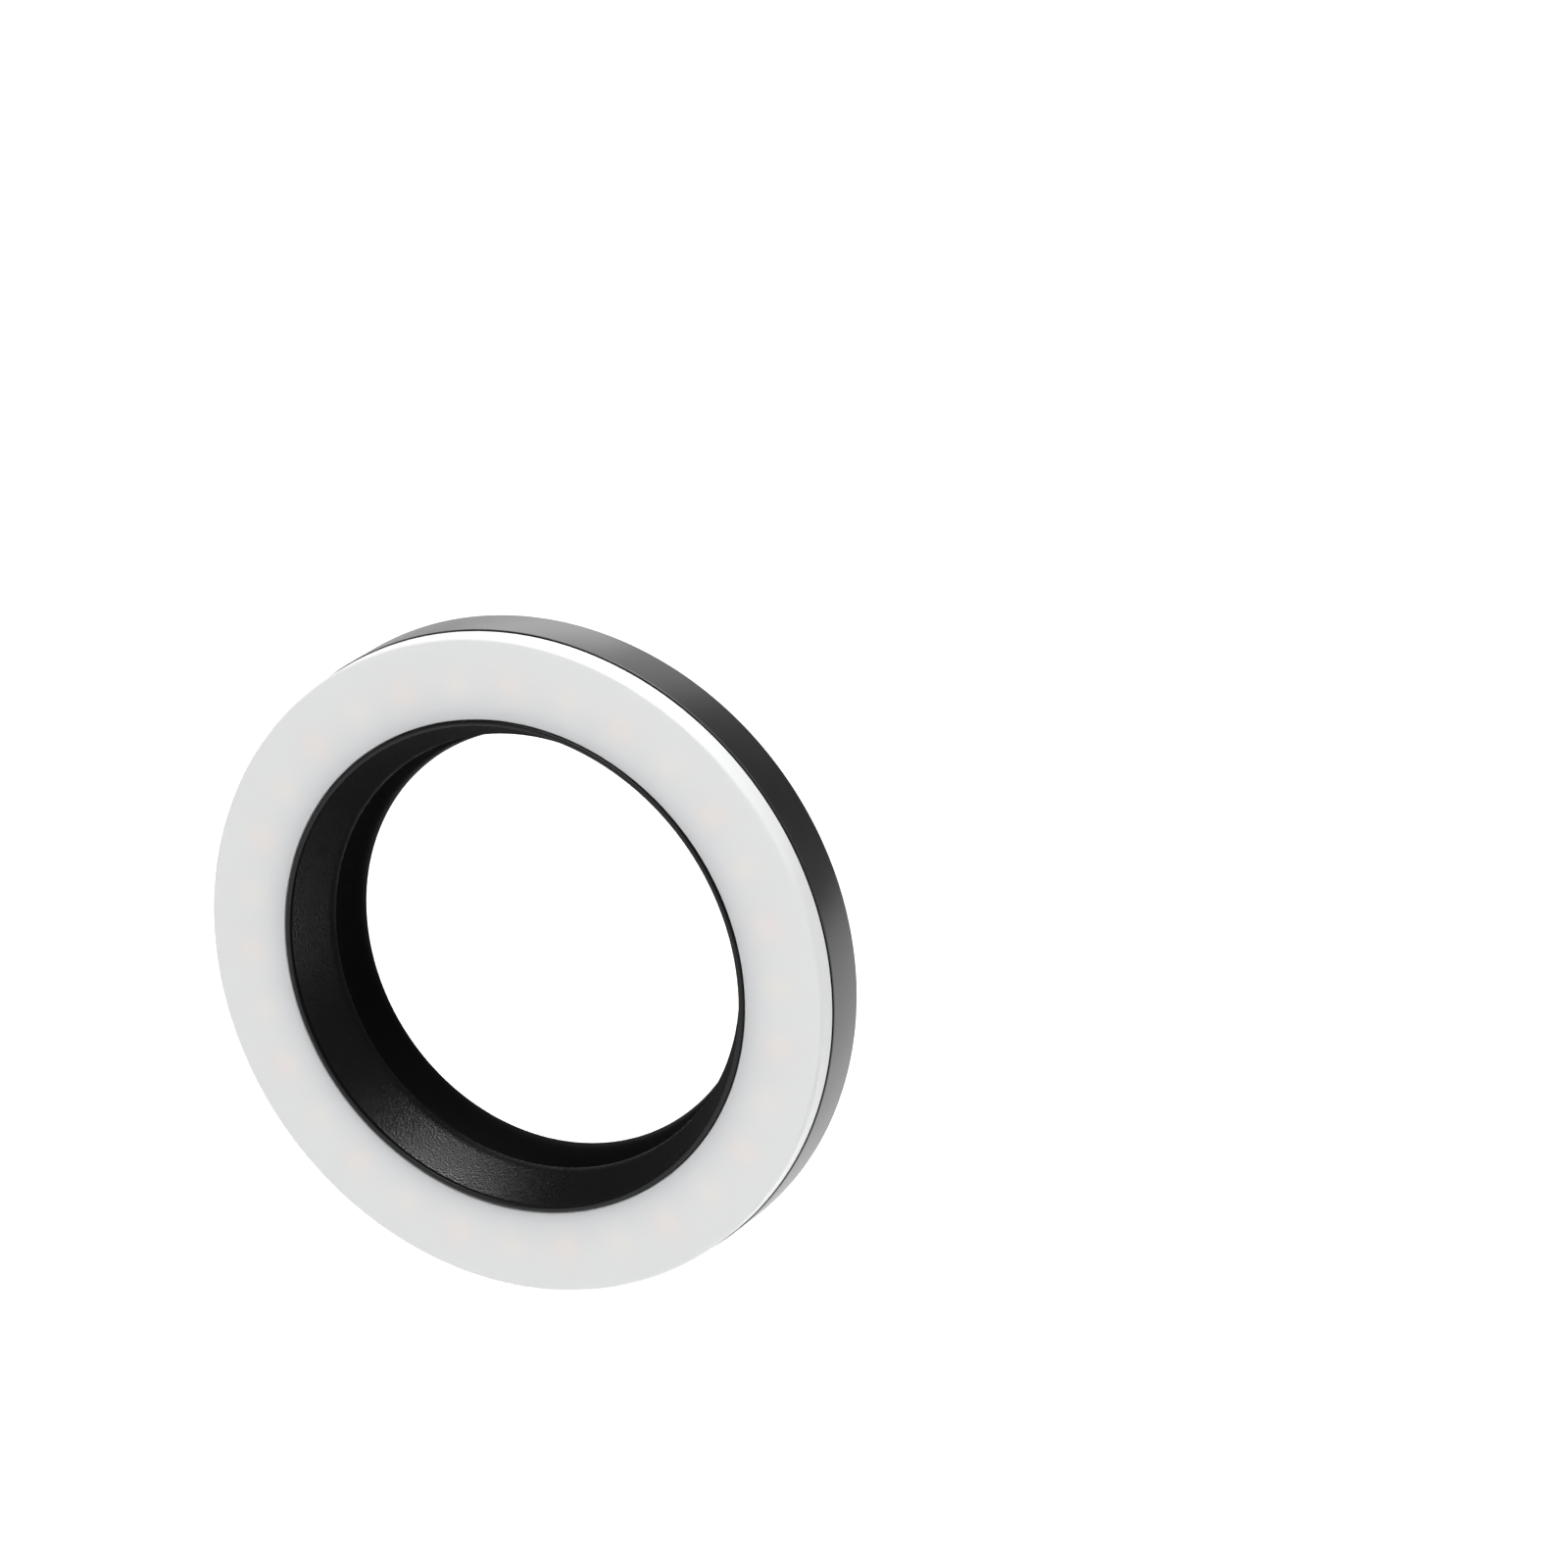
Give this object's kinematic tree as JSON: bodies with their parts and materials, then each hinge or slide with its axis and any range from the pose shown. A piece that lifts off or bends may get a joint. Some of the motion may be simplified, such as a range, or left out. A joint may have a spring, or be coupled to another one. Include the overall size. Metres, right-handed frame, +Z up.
{
  "type": "led ring light",
  "caption": "Slim LED ring light for a camera lens: opal diffuser ring on a black housing that turns on a threaded adapter ring, with sprung keys on its rim.",
  "frame": {"origin": "on the ring's axis, in the plane where the adapter's flange seats on the lens rim", "axes": "+Y along the axis towards the lens, -Y is the front with the diffuser, +Z up, +X to the right seen from the front"},
  "size_m": [0.093, 0.0137, 0.093],
  "materials": {
    "housing_anodised": "black anodised aluminium, satin",
    "adapter_anodised": "black anodised aluminium, fine turned",
    "opal_plastic": "opal white, semi-matt",
    "bezel_plastic": "black, fine spark-eroded grain",
    "gasket_foam": "closed-cell foam",
    "keeper_steel": "nickel-plated steel",
    "magnet_nickel": "nickel-plated magnet",
    "retainer_plastic": "black sheet",
    "screw_steel": "blackened steel",
    "board_white": "aluminium-core board, white mask",
    "led_cool": "cool-white LED, pale yellow phosphor",
    "led_warm": "warm-white LED, orange phosphor",
    "well_white": "white reflector moulding",
    "cell_foil": "laminated foil pouch",
    "foam_tape": "double-sided foam tape",
    "flex_polyimide": "amber flexible circuit",
    "connector_cream": "cream nylon",
    "board_green": "green circuit board",
    "chip_black": "moulded chip package",
    "coil_ferrite": "ferrite",
    "header_black": "black nylon",
    "switch_plastic": "black nylon",
    "plunger_white": "white acetal",
    "key_plastic": "black, fine grain",
    "usb_steel": "bright nickel-plated steel",
    "usb_tongue_plastic": "black nylon",
    "status_led": "small LED",
    "light_pipe": "frosted clear plastic"
  },
  "bodies": {
    "adapter": {"adapter_ring": "adapter_anodised", "keeper_ring": "keeper_steel"},
    "lamp": {"rear_housing": "housing_anodised", "magnets": "magnet_nickel", "magnet_retainer": "retainer_plastic", "inner_bezel": "bezel_plastic", "bezel_screws": "screw_steel", "diffuser": "opal_plastic", "diffuser_gasket": "gasket_foam", "led_board": "board_white", "cool_leds": "led_cool", "warm_leds": "led_warm", "light_well": "well_white", "board_screws": "screw_steel", "battery_cell_1": "cell_foil", "battery_cell_2": "cell_foil", "battery_cell_3": "cell_foil", "battery_cell_4": "cell_foil", "cell_pads": "foam_tape", "battery_flex": "flex_polyimide", "battery_connector": "connector_cream", "control_board": "board_green", "control_board_screws": "screw_steel", "led_driver_chip": "chip_black", "charge_chip": "chip_black", "power_inductor": "coil_ferrite", "board_header": "header_black", "button_switches": "switch_plastic", "usb_socket": "usb_steel", "usb_tongue": "usb_tongue_plastic", "status_leds": "status_led", "status_light_pipe": "light_pipe"},
    "brighter_key": {"brighter_button": "key_plastic", "brighter_switch_plunger": "plunger_white"},
    "colour_key": {"colour_button": "key_plastic", "colour_switch_plunger": "plunger_white"},
    "dimmer_key": {"dimmer_button": "key_plastic", "dimmer_switch_plunger": "plunger_white"},
    "power_key": {"power_button": "key_plastic", "power_switch_plunger": "plunger_white"}
  },
  "joints": [
    {"name": "lamp_turn", "type": "hinge", "parent": "adapter", "child": "lamp", "pos_m": [0, 0, 0], "axis": [0, 1, 0], "continuous": true},
    {"name": "brighter_press", "type": "slide", "parent": "lamp", "child": "brighter_key", "axis": [0.9613, 0, 0.2756], "range_m": [0, 0.0004], "stiffness_N_per_m": 4000},
    {"name": "colour_press", "type": "slide", "parent": "lamp", "child": "colour_key", "axis": [0.866, 0, 0.5], "range_m": [0, 0.0004], "stiffness_N_per_m": 4000},
    {"name": "dimmer_press", "type": "slide", "parent": "lamp", "child": "dimmer_key", "axis": [0.7193, 0, 0.6947], "range_m": [0, 0.0004], "stiffness_N_per_m": 4000},
    {"name": "power_press", "type": "slide", "parent": "lamp", "child": "power_key", "axis": [0.309, 0, 0.9511], "range_m": [0, 0.0004], "stiffness_N_per_m": 4000}
  ]
}
